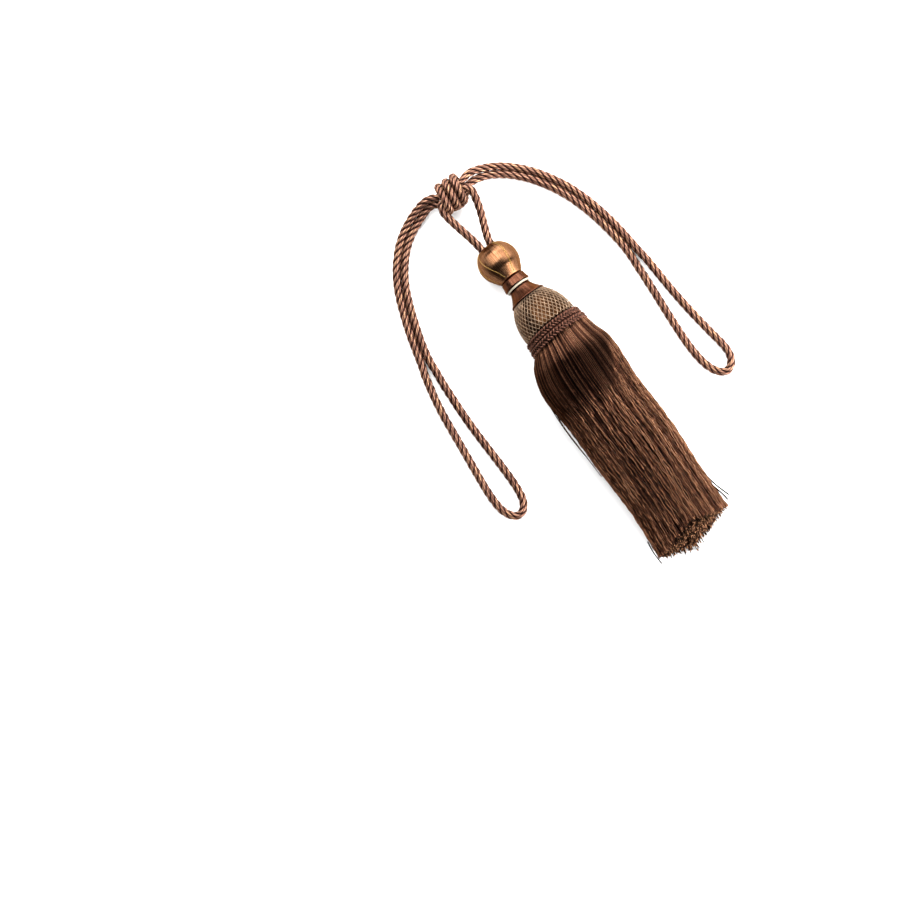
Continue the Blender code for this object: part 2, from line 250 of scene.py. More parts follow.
def close_ends(mesh):
    """Fill each tube's two open ends and turn all faces outwards."""
    bm = bmesh.new()
    bm.from_mesh(mesh)
    rims = [edge for edge in bm.edges if edge.is_boundary]
    bmesh.ops.holes_fill(bm, edges=rims, sides=0)
    bmesh.ops.recalc_face_normals(bm, faces=bm.faces)
    bm.to_mesh(mesh)
    bm.free()


def mesh_from(bm, name):
    """A new mesh from a finished bmesh."""
    mesh = bpy.data.meshes.new(name)
    bm.to_mesh(mesh)
    bm.free()
    return mesh


def finish_piece(mesh, material, stands_for=None):
    """Make the mesh a piece of the object: shaded, standing for its solid, and moving with it."""
    piece = add_object(mesh.name, mesh)
    mesh.materials.clear()
    mesh.materials.append(material)
    mesh.polygons.foreach_set("use_smooth", [True] * len(mesh.polygons))
    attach(piece, "root")
    if stands_for:
        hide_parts(stands_for)
    mesh.calc_loop_triangles()
    print(f"{piece.name}: {len(mesh.loop_triangles)} triangles")
    return piece


# %% [markdown]
# ## The rope's lay
#
# The rope is about 7 mm thick and has four strands, laid up right-handed: seen from any side, the ridges
# climb from lower left to upper right. Each strand is itself a bundle of yarns. In a balanced rope the yarns
# lie nearly along the rope where they show, at a smaller angle than the ridges, and that is what makes the
# fine lines inside each ridge. So the route is first smoothed, then a round tube is carried along it and
# turned with the lay, and last its points are moved in or out: by the strand's crown, and by the yarns.

# %% Smooth routes
ROPE_RADIUS = 3.6 * MM
ROPE_STEP = 1.25 * MM
SPLINE_STEPS = 40  # fine steps of the spline between two points of a route


def along_line(line):
    """The distance travelled at each point of a line."""
    return np.concatenate(([0.0], np.cumsum(np.linalg.norm(np.diff(line, axis=0), axis=1))))


def cubic_through(points, marks, wanted):
    """A natural cubic spline through points at marks, read at the wanted marks."""
    spans = np.diff(marks)
    slopes = np.diff(points, axis=0) / spans[:, None]
    system = np.eye(len(points))
    bends = np.zeros_like(points)
    for index in range(1, len(points) - 1):
        before, after = spans[index - 1], spans[index]
        system[index, index - 1:index + 2] = (before, 2.0 * (before + after), after)
        bends[index] = 6.0 * (slopes[index] - slopes[index - 1])
    bends = np.linalg.solve(system, bends)
    spot = np.clip(np.searchsorted(marks, wanted, side="right") - 1, 0, len(spans) - 1)
    span = spans[spot][:, None]
    share = (wanted - marks[spot])[:, None] / span
    back = 1.0 - share
    curve = (back ** 3 - back) * bends[spot] + (share ** 3 - share) * bends[spot + 1]
    return back * points[spot] + share * points[spot + 1] + curve * span * span / 6.0


def smooth_route(route, step):
    """Points about one step apart on a cubic spline through the route's own points."""
    points = np.array(route, dtype=float)
    chords = np.linalg.norm(np.diff(points, axis=0), axis=1)
    marks = np.concatenate(([0.0], np.cumsum(np.sqrt(chords))))
    fine_marks = [np.linspace(a, b, SPLINE_STEPS, endpoint=False) for a, b in zip(marks, marks[1:])]
    fine = cubic_through(points, marks, np.append(np.concatenate(fine_marks), marks[-1]))
    along = along_line(fine)
    wanted = np.linspace(0.0, along[-1], max(2, round(along[-1] / step) + 1))
    return np.stack([np.interp(wanted, along, fine[:, axis]) for axis in range(3)], axis=1)


# %% Strands and yarns
ROPE_STRANDS = 4
ROPE_LAY = 26.0 * MM
CROWN_ARC = 1.9 * MM  # radius of a strand's crown
CROWN_OFFSET = ROPE_RADIUS - CROWN_ARC
POINTS_IN_STRAND = 12
YARNS_SHOWN = 3.0
YARN_RELIEF = 0.20 * MM
YARN_LEAN = 0.19 / MM  # how fast the yarns turn back against the lay, in radians for each metre
YARN_TONES = 97
STRAND_SHIFT = 0.37  # the yarns of two strands are this share of a yarn out of step
STRAND_TONES = 23  # and this many tones apart

rope_outline = outline_curve("rope_outline", round_spots(ROPE_STRANDS * POINTS_IN_STRAND, ROPE_RADIUS))


def strand_crown(angle):
    """The rope's reach at this angle from the middle of a strand."""
    return CROWN_OFFSET * np.cos(angle) + np.sqrt(CROWN_ARC ** 2 - (CROWN_OFFSET * np.sin(angle)) ** 2)


def laid_rope(name, line, shares=1.0, radius=ROPE_RADIUS, lay=ROPE_LAY):
    """A four-strand rope as one mesh; shares scales its thickness along the line."""
    travelled = along_line(line)
    mesh = tube_mesh(name, [line], rope_outline, turns=[math.tau * travelled / lay])
    count = ROPE_STRANDS * POINTS_IN_STRAND
    quarter = math.tau / ROPE_STRANDS
    strand, point = np.divmod(np.arange(count), POINTS_IN_STRAND)
    within = point / POINTS_IN_STRAND
    yarn = YARNS_SHOWN * (within + YARN_LEAN * travelled[:, None] / quarter) + STRAND_SHIFT * strand
    ridge = 0.5 + 0.5 * np.cos(math.tau * yarn)
    crown = strand_crown((within - 0.5) * quarter)
    reach = (crown - YARN_RELIEF * (1.0 - ridge)) * (radius / ROPE_RADIUS) * np.reshape(shares, (-1, 1))
    outward = read_spots(mesh).reshape(len(line), count, 3) - line[:, None]
    outward /= np.linalg.norm(outward, axis=2, keepdims=True)
    spots = line[:, None] + outward * reach[:, :, None]
    mesh.vertices.foreach_set("co", spots.astype(np.float32).ravel())
    tones = np.random.default_rng(len(line)).random(YARN_TONES)
    set_number(mesh, "ridge", ridge)
    set_number(mesh, "height", np.broadcast_to(crown / ROPE_RADIUS, ridge.shape))
    set_number(mesh, "tone", tones[(np.round(yarn).astype(int) + STRAND_TONES * strand) % YARN_TONES])
    close_ends(mesh)
    return mesh


# %% [markdown]
# ## Rope yarn
#
# The rope is viscose: shiny, a warm brown with a pinkish cast. A few yarns lean to gold. Shiny fibre gives
# its shine the fibre's own colour, so the finish is partly metallic. One ramp reads how far a point is from
# the rope's middle and paints shade, nearly black, between the strands, where light hardly gets; one reads
# where it is on a yarn and paints shade between the yarns; and the tone number shifts each yarn a little.
# A fine noise adds the filaments.

# %% Mixing colours


def multiply_colours(material, first, second):
    """One colour times the other."""
    node = add_node(material, "ShaderNodeMix", {"Factor": 1.0, "A": first, "B": second},
                    data_type="RGBA", blend_type="MULTIPLY")
    return node.outputs["Result"]


def add_bump(material, shader, height, strength, distance):
    """Relief from a height, too fine to be modelled."""
    inputs = {"Height": height, "Strength": strength, "Distance": distance}
    connect(shader, "Normal", add_node(material, "ShaderNodeBump", inputs).outputs["Normal"])


def object_space(material):
    """Where a point of the piece is, in metres."""
    return add_node(material, "ShaderNodeTexCoord", {}).outputs["Object"]


def add_noise(material, scale, detail=2.0):
    """Noise in the object's own space."""
    inputs = {"Vector": object_space(material), "Scale": scale, "Detail": detail}
    return add_node(material, "ShaderNodeTexNoise", inputs).outputs["Fac"]


# %% Rope finish


def rope_finish():
    """Brown viscose yarn, with painted shade between the strands and between the yarns."""
    material, shader = new_finish("rope_yarn", roughness=0.40, specular=0.35, metallic=0.7)
    # painted shade: nearly black between the strands, where light hardly gets
    deep = add_ramp(material, read_attribute(material, "height"),
                    [(0.79, 0.004, 0.001, 0.001), (0.88, 0.075, 0.024, 0.017), (0.95, 0.285, 0.150, 0.098)])
    yarn = add_ramp(material, read_attribute(material, "tone"),
                    [(0.0, 0.58, 0.51, 0.52), (0.45, 1.00, 0.97, 0.98), (0.8, 1.12, 1.13, 1.07),
                     (1.0, 1.18, 1.20, 1.02)])
    # painted shade: darker between the yarns
    yarn_groove_shade = add_ramp(material, read_attribute(material, "ridge"),
                      [(0.15, 0.04, 0.02, 0.018), (0.65, 1.0, 1.0, 1.0)])
    colour = multiply_colours(material, multiply_colours(material, deep, yarn), yarn_groove_shade)
    connect(shader, "Base Color", colour)
    add_bump(material, shader, add_noise(material, 2600.0, 3.0), 0.35, 0.2 * MM)
    return material


rope_material = rope_finish()

# %% [markdown]
# ## The embrace
#
# One long rope goes through the knot and comes back on both sides as a loop for the wall hook. The routes
# were laid over the table: out of the knot, a wide arc, down beside the tassel, round the loop's end and
# back. Here it is two pieces, one for each side, that meet inside the knot, where the rope is squeezed. It
# swells again as it comes out. Where the two legs of a loop lie side by side they are pressed together, so
# that the ridges of one sink between the ridges of the other.

# %% Loop routes
LEFT_LOOP = [
    (-0.2, 4.6, 14.1), (-8.5, 4.6, 14.1), (-13.0, 5.7, 13.6), (-20.0, 8.7, 11.8), (-39.4, 4.2, 5.8),
    (-58.3, -6.8), (-77.7, -29.3), (-89.5, -55.2), (-97.9, -82.6), (-104.6, -110.0), (-110.0, -138.0),
    (-113.0, -170.0), (-116.2, -208.0), (-116.8, -230.0), (-113.6, -243.4), (-106.0, -249.4),
    (-98.4, -244.2), (-95.2, -231.0), (-95.2, -208.0), (-96.9, -170.0), (-96.7, -138.0), (-95.0, -110.0),
    (-90.6, -84.4), (-82.5, -57.8), (-71.3, -33.3), (-53.7, -12.8), (-36.2, -2.8, 4.6), (-20.0, 2.0, 7.4),
    (-13.0, -0.3, 10.2), (-8.5, -0.8, 10.9), (-0.2, -0.8, 10.9),
]
RIGHT_LOOP = [
    (0.2, 4.6, 14.1), (8.5, 4.6, 14.1), (13.0, 5.3, 13.7), (20.0, 7.4, 11.8), (41.9, 0.0, 5.4),
    (62.6, -17.6), (73.0, -31.5), (82.3, -47.7), (91.6, -73.4), (98.1, -105.0), (101.5, -135.0),
    (103.7, -163.0), (107.0, -192.0), (111.2, -218.0), (113.5, -233.0), (111.2, -244.4), (103.2, -249.4),
    (95.2, -242.8), (90.8, -229.0), (89.4, -208.0), (90.8, -170.0), (92.0, -135.0), (90.5, -105.0),
    (84.4, -75.6), (75.7, -51.3), (67.0, -36.0), (57.4, -23.0), (38.1, -6.5, 4.8), (20.0, -0.6, 8.2),
    (13.0, -0.8, 10.2), (8.5, -0.8, 10.9), (0.2, -0.8, 10.9),
]

# %% Squeezed and pressed rope
SQUEEZED = 0.86
KNOT_HALF_LENGTH = 10.8 * MM
EMBRACE_SWELL = 8.6 * MM
NESTED = 6.7 * MM  # how near the two legs' middles come
NEAR_LEG = 8.0 * MM  # legs nearer than this are pressed together
FAR_LEG = 9.5 * MM  # and those beyond this are left alone
SAME_LEG = 60.0 * MM  # two points this near along the rope are on one leg
OUT_OF_REACH = 1.0


def swelling(distance, length):
    """Share of the full thickness at each distance outside the knot."""
    return SQUEEZED + (1.0 - SQUEEZED) * np.clip(distance / length, 0.0, 1.0)


def pressed_together(line, outside):
    """The line with its legs moved closer where they lie side by side, so that their strands nest."""
    travelled = along_line(line)
    apart = np.linalg.norm(line[:, None] - line[None], axis=2)
    apart[np.abs(travelled[:, None] - travelled[None]) < SAME_LEG] = OUT_OF_REACH
    nearest = np.argmin(apart, axis=1)
    distance = np.min(apart, axis=1)
    share = np.interp(distance, (NEAR_LEG, FAR_LEG), (1.0, 0.0))
    share *= np.clip(outside / EMBRACE_SWELL, 0.0, 1.0)
    way = (line[nearest] - line) / distance[:, None]
    return line + way * (share * np.maximum(distance - NESTED, 0.0) / 2.0)[:, None]


# %% Embrace


for name, table in (("embrace_left", LEFT_LOOP), ("embrace_right", RIGHT_LOOP)):
    line = smooth_route(route_places(table), ROPE_STEP)
    outside = np.abs(line[:, 0] - KNOT_AT.x) - KNOT_HALF_LENGTH
    rope = laid_rope(name + "_rope", pressed_together(line, outside), swelling(outside, EMBRACE_SWELL))
    finish_piece(rope, rope_material, name)

# %% [markdown]
# ## The head's own axis
#
# The ball, collars, egg and ruff share one axis. It rises ten degrees towards the skirt, because the skirt
# is thicker than the ball and holds that end up. These pieces are modelled upright round the Z axis, with
# the ball's middle at zero, and then carried to their place by one matrix. The hanger ends inside the ball,
# so the matrix is needed before the hanger.

# %% Head axis
BALL_AT = place(-1.2, -68.0, 18.1)
HEAD_RISE = math.radians(10.0)
HEAD_TURN = math.radians(4.46)
head = Matrix.Translation(BALL_AT) @ Euler((-math.pi / 2.0 - HEAD_RISE, 0.0, HEAD_TURN)).to_matrix().to_4x4()
print("the head points", [round(v, 2) for v in head.to_3x3() @ Vector((0, 0, -1))])


def on_head(radius, angles, height):
    """Places round the head's axis, from radii, angles and heights in millimetres, in the model's frame."""
    spots = np.stack(np.broadcast_arrays(radius * np.cos(angles), radius * np.sin(angles), height), axis=1)
    return np.array([head @ Vector(spot) for spot in spots * MM])


# %% [markdown]
# ## The hanger
#
# A short rope goes through the knot, comes out at both ends and runs down into a hole in the ball. Its legs
# leave the knot over the embrace and draw together towards the ball.

# %% Hanger
BALL_HOLE_FLOOR = 12.0
LEG_OFFSET = 4.6
LEG_GAP = 0.3
HANGER_MIDDLE = [
    (-6.9, -50.0, 15.0), (-8.5, -40.0, 14.9), (-12.2, -25.0, 16.0), (-15.0, -10.0, 17.9),
    (-14.2, -4.2, 18.0), (-11.4, -1.3, 17.6), (-7.0, -0.8, 17.3), (0.0, -0.8, 17.3), (7.0, -0.8, 17.3),
    (11.4, -1.3, 17.6), (14.0, -4.4, 18.0), (14.2, -10.0, 17.8), (10.5, -25.0, 16.0), (5.0, -40.0, 14.9),
    (2.3, -50.0, 15.0),
]
HANGER_SWELL = 4.0 * MM
HANGER_INSIDE_X = 9.0 * MM
HANGER_INSIDE_Y = 1.0 * MM

leg_height = BALL_HOLE_FLOOR + LEG_GAP
first_leg, last_leg = [head @ (Vector((side * LEG_OFFSET, 0.0, leg_height)) * MM) for side in (-1.0, 1.0)]
hanger_line = smooth_route([first_leg] + route_places(HANGER_MIDDLE) + [last_leg], ROPE_STEP)
from_knot = hanger_line - np.array(KNOT_AT)
sideways = swelling(np.abs(from_knot[:, 0]) - HANGER_INSIDE_X, HANGER_SWELL)
downwards = swelling(-from_knot[:, 1] - HANGER_INSIDE_Y, HANGER_SWELL)
hanger_mesh = laid_rope("hanger_rope", hanger_line, np.maximum(sideways, downwards))
finish_piece(hanger_mesh, rope_material, "hanger_cord")

# %% [markdown]
# ## The knot
#
# Three turns of the same rope are wound tight round the embrace and the hanger, side by side, like a small
# barrel. The turns begin and end underneath, where the maker stitches them down, and a short tail shows at
# the knot's lower edge. The radius follows from what is inside: three squeezed ropes in a triangle, and then
# half a rope more.

# %% Knot
KNOT_TURNS = 3.0
KNOT_PITCH = 7.2 * MM
KNOT_ROPE_RADIUS = 3.62 * MM
KNOT_START_X = -12.0 * MM
KNOT_LAY = 17.0 * MM
KNOT_AXIS_Y = 1.0 * MM
GAP = 0.3 * MM
TABLE_GAP = 0.05 * MM

bundle_radius = (2.0 * ROPE_RADIUS * SQUEEZED + GAP) / math.sqrt(3.0)
knot_radius = bundle_radius + ROPE_RADIUS * SQUEEZED + GAP + KNOT_ROPE_RADIUS
knot_axis_z = knot_radius + KNOT_ROPE_RADIUS + TABLE_GAP
knot_turns = np.linspace(0.0, KNOT_TURNS, round(KNOT_TURNS * math.tau * knot_radius / ROPE_STEP))
knot_angle = -math.pi / 2.0 - math.tau * knot_turns
knot_line = np.array(KNOT_AT) + np.stack([
    KNOT_START_X + KNOT_PITCH * knot_turns,
    KNOT_AXIS_Y + knot_radius * np.cos(knot_angle),
    knot_axis_z + knot_radius * np.sin(knot_angle),
], axis=1)
knot_mesh = laid_rope("knot_turns", knot_line, radius=KNOT_ROPE_RADIUS, lay=KNOT_LAY)
finish_piece(knot_mesh, rope_material, "knot")
print("the knot's turns have a radius of", round(knot_radius / MM, 1), "mm")

# %% The knot's tail
TAIL = [(10.2, -5.0, 9.0), (6.0, -9.9, 12.5), (0.0, -11.6, 13.5), (-6.0, -10.4, 12.5), (-10.4, -6.0, 9.0)]
TAIL_RADIUS = 2.3 * MM
TAIL_LAY = 15.0 * MM

tail_line = smooth_route(route_places(TAIL), ROPE_STEP)
finish_piece(laid_rope("knot_tail", tail_line, radius=TAIL_RADIUS, lay=TAIL_LAY), rope_material)

# %% [markdown]
# ## Wound satin
#
# The ball and the collars are wooden moulds wound with satin thread from pole to pole. A mould is a turned
# shape, so its profile is spun round the axis with two steps for each thread, and every second step is then
# lowered a little. That gives real ridges that narrow towards the poles, as wound thread does. Each point
# also keeps its direction round the axis and its height, so that streaks can follow the thread.

# %% Turned moulds
THREAD_RELIEF = 0.06
NEAR_AXIS = 1.0 * MM  # points nearer to the axis than this have no thread
SAME_SPOT = 0.001 * MM


def turned_mould(name, profile, threads, relief=THREAD_RELIEF):
    """A profile (radius, height) in millimetres, spun with a ridge for each thread, in its place."""
    bm = bmesh.new()
    verts = [bm.verts.new((radius * MM, 0.0, height * MM)) for radius, height in profile]
    edges = [bm.edges.new(pair) for pair in zip(verts, verts[1:])]
    bmesh.ops.spin(bm, geom=verts + edges, axis=(0, 0, 1), cent=(0, 0, 0), angle=math.tau,
                   steps=2 * threads, use_merge=True)
    bmesh.ops.remove_doubles(bm, verts=bm.verts, dist=SAME_SPOT)
    for vert in bm.verts:
        angle = math.atan2(vert.co.y, vert.co.x)
        if math.hypot(vert.co.x, vert.co.y) > NEAR_AXIS:
            sunk = relief * MM * 0.5 * (1.0 - math.cos(threads * angle))
            vert.co.x -= sunk * math.cos(angle)
            vert.co.y -= sunk * math.sin(angle)
    bmesh.ops.recalc_face_normals(bm, faces=bm.faces)
    mesh = mesh_from(bm, name)
    keep_directions(mesh)
    mesh.transform(head)
    return mesh


def keep_directions(mesh):
    """Note for each point its direction round the axis, its height, and which way is across the thread."""
    spots = read_spots(mesh)
    around = np.hypot(spots[:, 0], spots[:, 1]) + 1e-6  # never zero, not even on the axis
    cos, sin = spots[:, 0] / around, spots[:, 1] / around
    set_vector(mesh, "wound", np.stack([cos, sin, spots[:, 2] / MM], axis=1))
    turn = np.array(head.to_3x3())
    set_vector(mesh, "across", np.stack([-sin, cos, np.zeros_like(sin)], axis=1) @ turn.T)


# %% [markdown]
# Satin's look comes from how it reflects more than from its colour. Each fibre is a tiny bright rod, so a
# light shows as a band straight across the threads, and between two bands the satin is dark. A shader does
# this with anisotropy: its tangent is the direction across the threads, which the mould kept at each point.
# A noise stretched along the threads gives the streaks and a little unevenness in the colour.

# %% Satin finish
STREAKS_ACROSS = 95.0
STREAKS_ALONG = 0.05


def stretched_noise(material, spot, scales, detail=2.0, roughness=0.5):
    """Noise drawn out in one direction, for streaks that follow a thread."""
    drawn = add_node(material, "ShaderNodeMapping", {"Vector": spot, "Scale": scales}).outputs["Vector"]
    inputs = {"Vector": drawn, "Scale": 1.0, "Detail": detail, "Roughness": roughness}
    return add_node(material, "ShaderNodeTexNoise", inputs).outputs["Fac"]


def satin_finish(name, stops, roughness, combed=0.80):
    """Wound satin thread, with streaks along it; stops are its colours from dark to light."""
    material, shader = new_finish(name, roughness, specular=0.3, metallic=1.0)
    shader.inputs["Anisotropic"].default_value = combed
    connect(shader, "Tangent", read_attribute(material, "across", "Vector"))
    wound = read_attribute(material, "wound", "Vector")
    scales = (STREAKS_ACROSS, STREAKS_ACROSS, STREAKS_ALONG)
    streaks = stretched_noise(material, wound, scales, detail=4.0, roughness=0.65)
    connect(shader, "Base Color", add_ramp(material, streaks, stops))
    add_bump(material, shader, streaks, 0.3, 0.2 * MM)
    return material


COPPER = [(0.38, 0.040, 0.013, 0.005), (0.50, 0.140, 0.060, 0.027), (0.62, 0.250, 0.134, 0.072)]
BROWN = [(0.32, 0.007, 0.002, 0.001), (0.50, 0.052, 0.018, 0.010), (0.68, 0.195, 0.085, 0.049)]
copper_satin = satin_finish("copper_satin", COPPER, 0.285)
brown_satin = satin_finish("brown_satin", BROWN, 0.31, combed=0.2)

# %% [markdown]
# ## The ball
#
# The ball has a hole at the top for the hanger and is drawn in to the collar below. Its profile is an arc,
# and the arc's first angle follows from the hole's radius. A few gold threads were wound over the satin
# last, so they stand a little proud.

# %% Ball
BALL_RADIUS = 17.8
BALL_HOLE_RADIUS = 8.8
BALL_LAST_ANGLE = math.radians(122.0)
BALL_THREADS = 200
BALL_STEPS = 30
HOLE_WALL = [(0.0, 11.6), (7.6, 11.6), (8.2, 14.2), (8.35, 15.0)]  # its floor is a little under the legs
BALL_FOOT = [(12.6, -13.9), (11.2, -16.0), (10.2, -17.5), (0.0, -17.5)]

first_angle = math.asin(BALL_HOLE_RADIUS / BALL_RADIUS)
ball_angles = np.linspace(first_angle, BALL_LAST_ANGLE, BALL_STEPS)
ball_arc = [(BALL_RADIUS * math.sin(angle), BALL_RADIUS * math.cos(angle)) for angle in ball_angles]
ball_mesh = turned_mould("wound_ball", HOLE_WALL + ball_arc + BALL_FOOT, BALL_THREADS)
finish_piece(ball_mesh, copper_satin, "ball")

# %% Gold threads over the ball
GOLD_RADIUS = 0.17
GOLD_SIDES = 4
GOLD_LIFT = 0.08
GOLD_FOOT = [(13.6, -12.0), (12.6, -13.9), (11.6, -15.4)]
# each gold thread: its angle round the ball at the top, and how far it turns on the way down
GOLD_THREADS = ((-150.0, 40.0), (-52.0, -13.0), (-46.0, -17.0), (-8.0, 6.0), (30.0, 2.0),
                (74.0, -5.0), (133.0, 3.0), (170.0, -4.0), (196.0, 5.0))


def gold_finish():
    """Gold metal thread."""
    material, shader = new_finish("gold_thread", roughness=0.3, metallic=0.6)
    glint = add_noise(material, 1800.0)
    colour = add_ramp(material, glint, [(0.35, 0.22, 0.12, 0.03), (0.65, 0.55, 0.35, 0.11)])
    connect(shader, "Base Color", colour)
    return material


gold_radii, gold_heights = np.array(ball_arc + GOLD_FOOT).T
gold_lines = []
for angle, lean in GOLD_THREADS:
    angles = np.radians(np.linspace(angle, angle + lean, len(gold_radii)))
    gold_lines.append(on_head(gold_radii + GOLD_LIFT, angles, gold_heights))
gold_outline = outline_curve("gold_outline", round_spots(GOLD_SIDES, GOLD_RADIUS * MM))
gold_mesh = tube_mesh("gold_threads", gold_lines, gold_outline)
close_ends(gold_mesh)
finish_piece(gold_mesh, gold_finish())

# %% [markdown]
# ## Collars and the cream ring
#
# Below the ball come a short collar, one round of cream cord, and a second collar that flares to the egg's
# width and ends in a thin rolled edge. The collars are wound like the ball, with dark brown thread.

# %% Collars
UPPER_COLLAR = [(0.0, -17.8), (10.2, -17.8), (10.9, -18.3), (11.2, -19.6), (11.4, -21.5), (11.8, -23.4),
                (12.1, -24.4), (12.0, -24.9), (11.6, -25.2), (0.0, -25.2)]
LOWER_COLLAR = [(0.0, -27.7), (9.5, -27.7), (10.0, -29.0), (10.9, -31.0), (12.3, -33.3), (13.5, -35.1),
                (14.6, -36.6), (15.6, -37.7), (16.3, -38.3), (16.6, -38.7), (16.4, -39.2), (15.9, -39.3),
                (0.0, -39.3)]
UPPER_THREADS = 110
LOWER_THREADS = 130

upper_mesh = turned_mould("wound_upper_collar", UPPER_COLLAR, UPPER_THREADS)
finish_piece(upper_mesh, brown_satin, "upper_collar")
lower_mesh = turned_mould("wound_lower_collar", LOWER_COLLAR, LOWER_THREADS)
finish_piece(lower_mesh, brown_satin, "lower_collar")

# %% Cream ring
CREAM_RADIUS = 10.2
CREAM_HEIGHT = -26.45
CREAM_THICKNESS = 0.92
CREAM_STEPS = 160
CREAM_YARNS = 5
CREAM_GROOVE = 0.18
CREAM_TWISTS = 20.0
RING_MOULD = [(0.0, -25.6), (9.7, -25.6), (9.7, -27.3), (0.0, -27.3)]
RING_SIDES = 24


def cream_finish():
    """Matt cream cotton, with painted shade in the grooves between its yarns."""
    material, shader = new_finish("cream_cotton", roughness=0.6)
    ridge = read_attribute(material, "ridge")
    # painted shade: darker in the grooves between the yarns
    colour = add_ramp(material, ridge, [(0.0, 0.22, 0.16, 0.10), (0.7, 0.46, 0.41, 0.31)])
    connect(shader, "Base Color", colour)
    shader.inputs["Sheen Weight"].default_value = 0.3
    return material


cream_spots = round_spots(2 * CREAM_YARNS, CREAM_THICKNESS * MM, groove=CREAM_GROOVE)
cream_outline = outline_curve("cream_outline", cream_spots)
cream_angles = np.linspace(0.0, math.tau, CREAM_STEPS, endpoint=False)
cream_line = on_head(CREAM_RADIUS, cream_angles, CREAM_HEIGHT)
cream_mesh = tube_mesh("cream_cord_ring", [cream_line], cream_outline, turns=[CREAM_TWISTS * cream_angles],
                       closed=True)
set_number(cream_mesh, "ridge", np.tile([1.0, 0.0], CREAM_STEPS * CREAM_YARNS))
close_ends(cream_mesh)
finish_piece(turned_mould("ring_mould", RING_MOULD, RING_SIDES, relief=0.0), brown_satin)
finish_piece(cream_mesh, cream_finish(), "cream_ring")

# %% [markdown]
# ## The egg and its net
#
# The egg is wound with satin too, and over it goes a knotted net of pale cord. A net like this is two
# families of spirals, one leaning each way, with a small knot wherever they cross. All the spirals turn at
# the same rate down the egg, so the meshes are narrow at the top and widest at the girth. The satin lies a
# millimetre under the net, which makes the meshes look deep.

# %% Egg
EGG_PROFILE = [(15.2, -39.6), (16.9, -41.4), (18.9, -44.3), (20.3, -46.9), (21.6, -49.8), (22.7, -52.9),
               (23.5, -55.8), (24.1, -59.0), (24.5, -62.2), (24.7, -65.2), (24.6, -69.5)]
EGG_STEP = 1.2
EGG_THREADS = 170
SATIN_UNDER_NET = 1.1
DARK_BROWN = [(0.30, 0.002, 0.001, 0.001), (0.50, 0.020, 0.008, 0.003), (0.70, 0.115, 0.052, 0.022)]

egg_line = smooth_route([(radius, 0.0, height) for radius, height in EGG_PROFILE], EGG_STEP)
egg_radii, egg_heights = egg_line[:, 0], egg_line[:, 2]
egg_rows = list(zip(egg_radii - SATIN_UNDER_NET, egg_heights))
egg_rows = [(0.0, egg_heights[0])] + egg_rows + [(0.0, egg_heights[-1])]
egg_satin = satin_finish("egg_satin", DARK_BROWN, 0.30, combed=0.1)
finish_piece(turned_mould("satin_egg", egg_rows, EGG_THREADS), egg_satin)

# %% The net's cords
NET_CORDS = 40
NET_HALF_ROWS = 11
NET_CORD_RADIUS = 0.26
NET_CORD_SIDES = 6
NET_STEPS_PER_ROW = 4
NET_LIFT = 0.05

net_steps = np.arange(NET_HALF_ROWS * NET_STEPS_PER_ROW + 1)
net_along = along_line(egg_line)
net_marks = np.linspace(0.0, net_along[-1], len(net_steps))
net_radii = np.interp(net_marks, net_along, egg_radii) + NET_LIFT
net_heights = np.interp(net_marks, net_along, egg_heights)
half_mesh = math.pi / NET_CORDS
net_lines = []
for lean in (-1.0, 1.0):
    for number in range(NET_CORDS):
        angles = half_mesh * (2.0 * number + lean * net_steps / NET_STEPS_PER_ROW)
        net_lines.append(on_head(net_radii, angles, net_heights))
net_outline = outline_curve("net_outline", round_spots(NET_CORD_SIDES, NET_CORD_RADIUS * MM))
net_mesh = tube_mesh("knotted_net", net_lines, net_outline)
close_ends(net_mesh)

# %% The net's knots and finish
NET_KNOT_RADIUS = 0.50


def net_finish():
    """Pale beige cord with a soft shine."""
    material, shader = new_finish("net_cord", roughness=0.42, specular=0.4, metallic=0.85)
    patch = add_noise(material, 320.0, 3.0)
    colour = add_ramp(material, patch, [(0.3, 0.10, 0.066, 0.044), (0.7, 0.35, 0.240, 0.160)])
    connect(shader, "Base Color", colour)
    add_bump(material, shader, add_noise(material, 3000.0), 0.4, 0.15 * MM)
    return material


bm = bmesh.new()
bm.from_mesh(net_mesh)
for row in range(1, NET_HALF_ROWS):
    step = row * NET_STEPS_PER_ROW
    angles = half_mesh * (2.0 * np.arange(NET_CORDS) + row % 2)
    for spot in on_head(net_radii[step], angles, net_heights[step]):
        bmesh.ops.create_icosphere(bm, subdivisions=1, radius=NET_KNOT_RADIUS * MM,
                                   matrix=Matrix.Translation(spot))
bm.to_mesh(net_mesh)
bm.free()
finish_piece(net_mesh, net_finish(), "egg")

# %% [markdown]
# ## The ruff
#
# Two rows of braided gimp hide the place where the skirt is tied to the egg. A flat braid of three is three
# strands that all follow the same path, a third of a turn apart: each swings from edge to edge once in a
# repeat and goes over and under twice. Seen from outside that makes a row of slanting stitches along each
# edge, leaning towards each other. Under the braids lies a plain wound band.

# %% Braids
BRAID_REPEATS = 18
BRAID_SWING = 2.4
BRAID_DIVE = 1.05
BRAID_STEPS = 16
BRAID_STRANDS = 3
BRAID_YARNS = 4
BRAID_ACROSS = 1.22
BRAID_DEEP = 1.02
BRAID_GROOVE = 0.2
# tiers: radius of the braid's middle, its height on the head's axis, and where in a repeat it starts
BRAID_TIERS = ((25.2, -73.3, 0.0), (26.3, -80.0, 0.8))

braid_angles = np.linspace(0.0, math.tau, BRAID_REPEATS * BRAID_STEPS, endpoint=False)
braid_lines = []
braid_heights = []
for radius, height, start in BRAID_TIERS:
    for strand in range(BRAID_STRANDS):
        phase = BRAID_REPEATS * braid_angles + math.tau * strand / BRAID_STRANDS + start
        over = np.sin(2.0 * phase)
        level = height + BRAID_SWING * np.sin(phase)
        braid_lines.append(on_head(radius + BRAID_DIVE * over, braid_angles, level))
        braid_heights.append(0.5 + 0.5 * over)

# %% Gimp finish


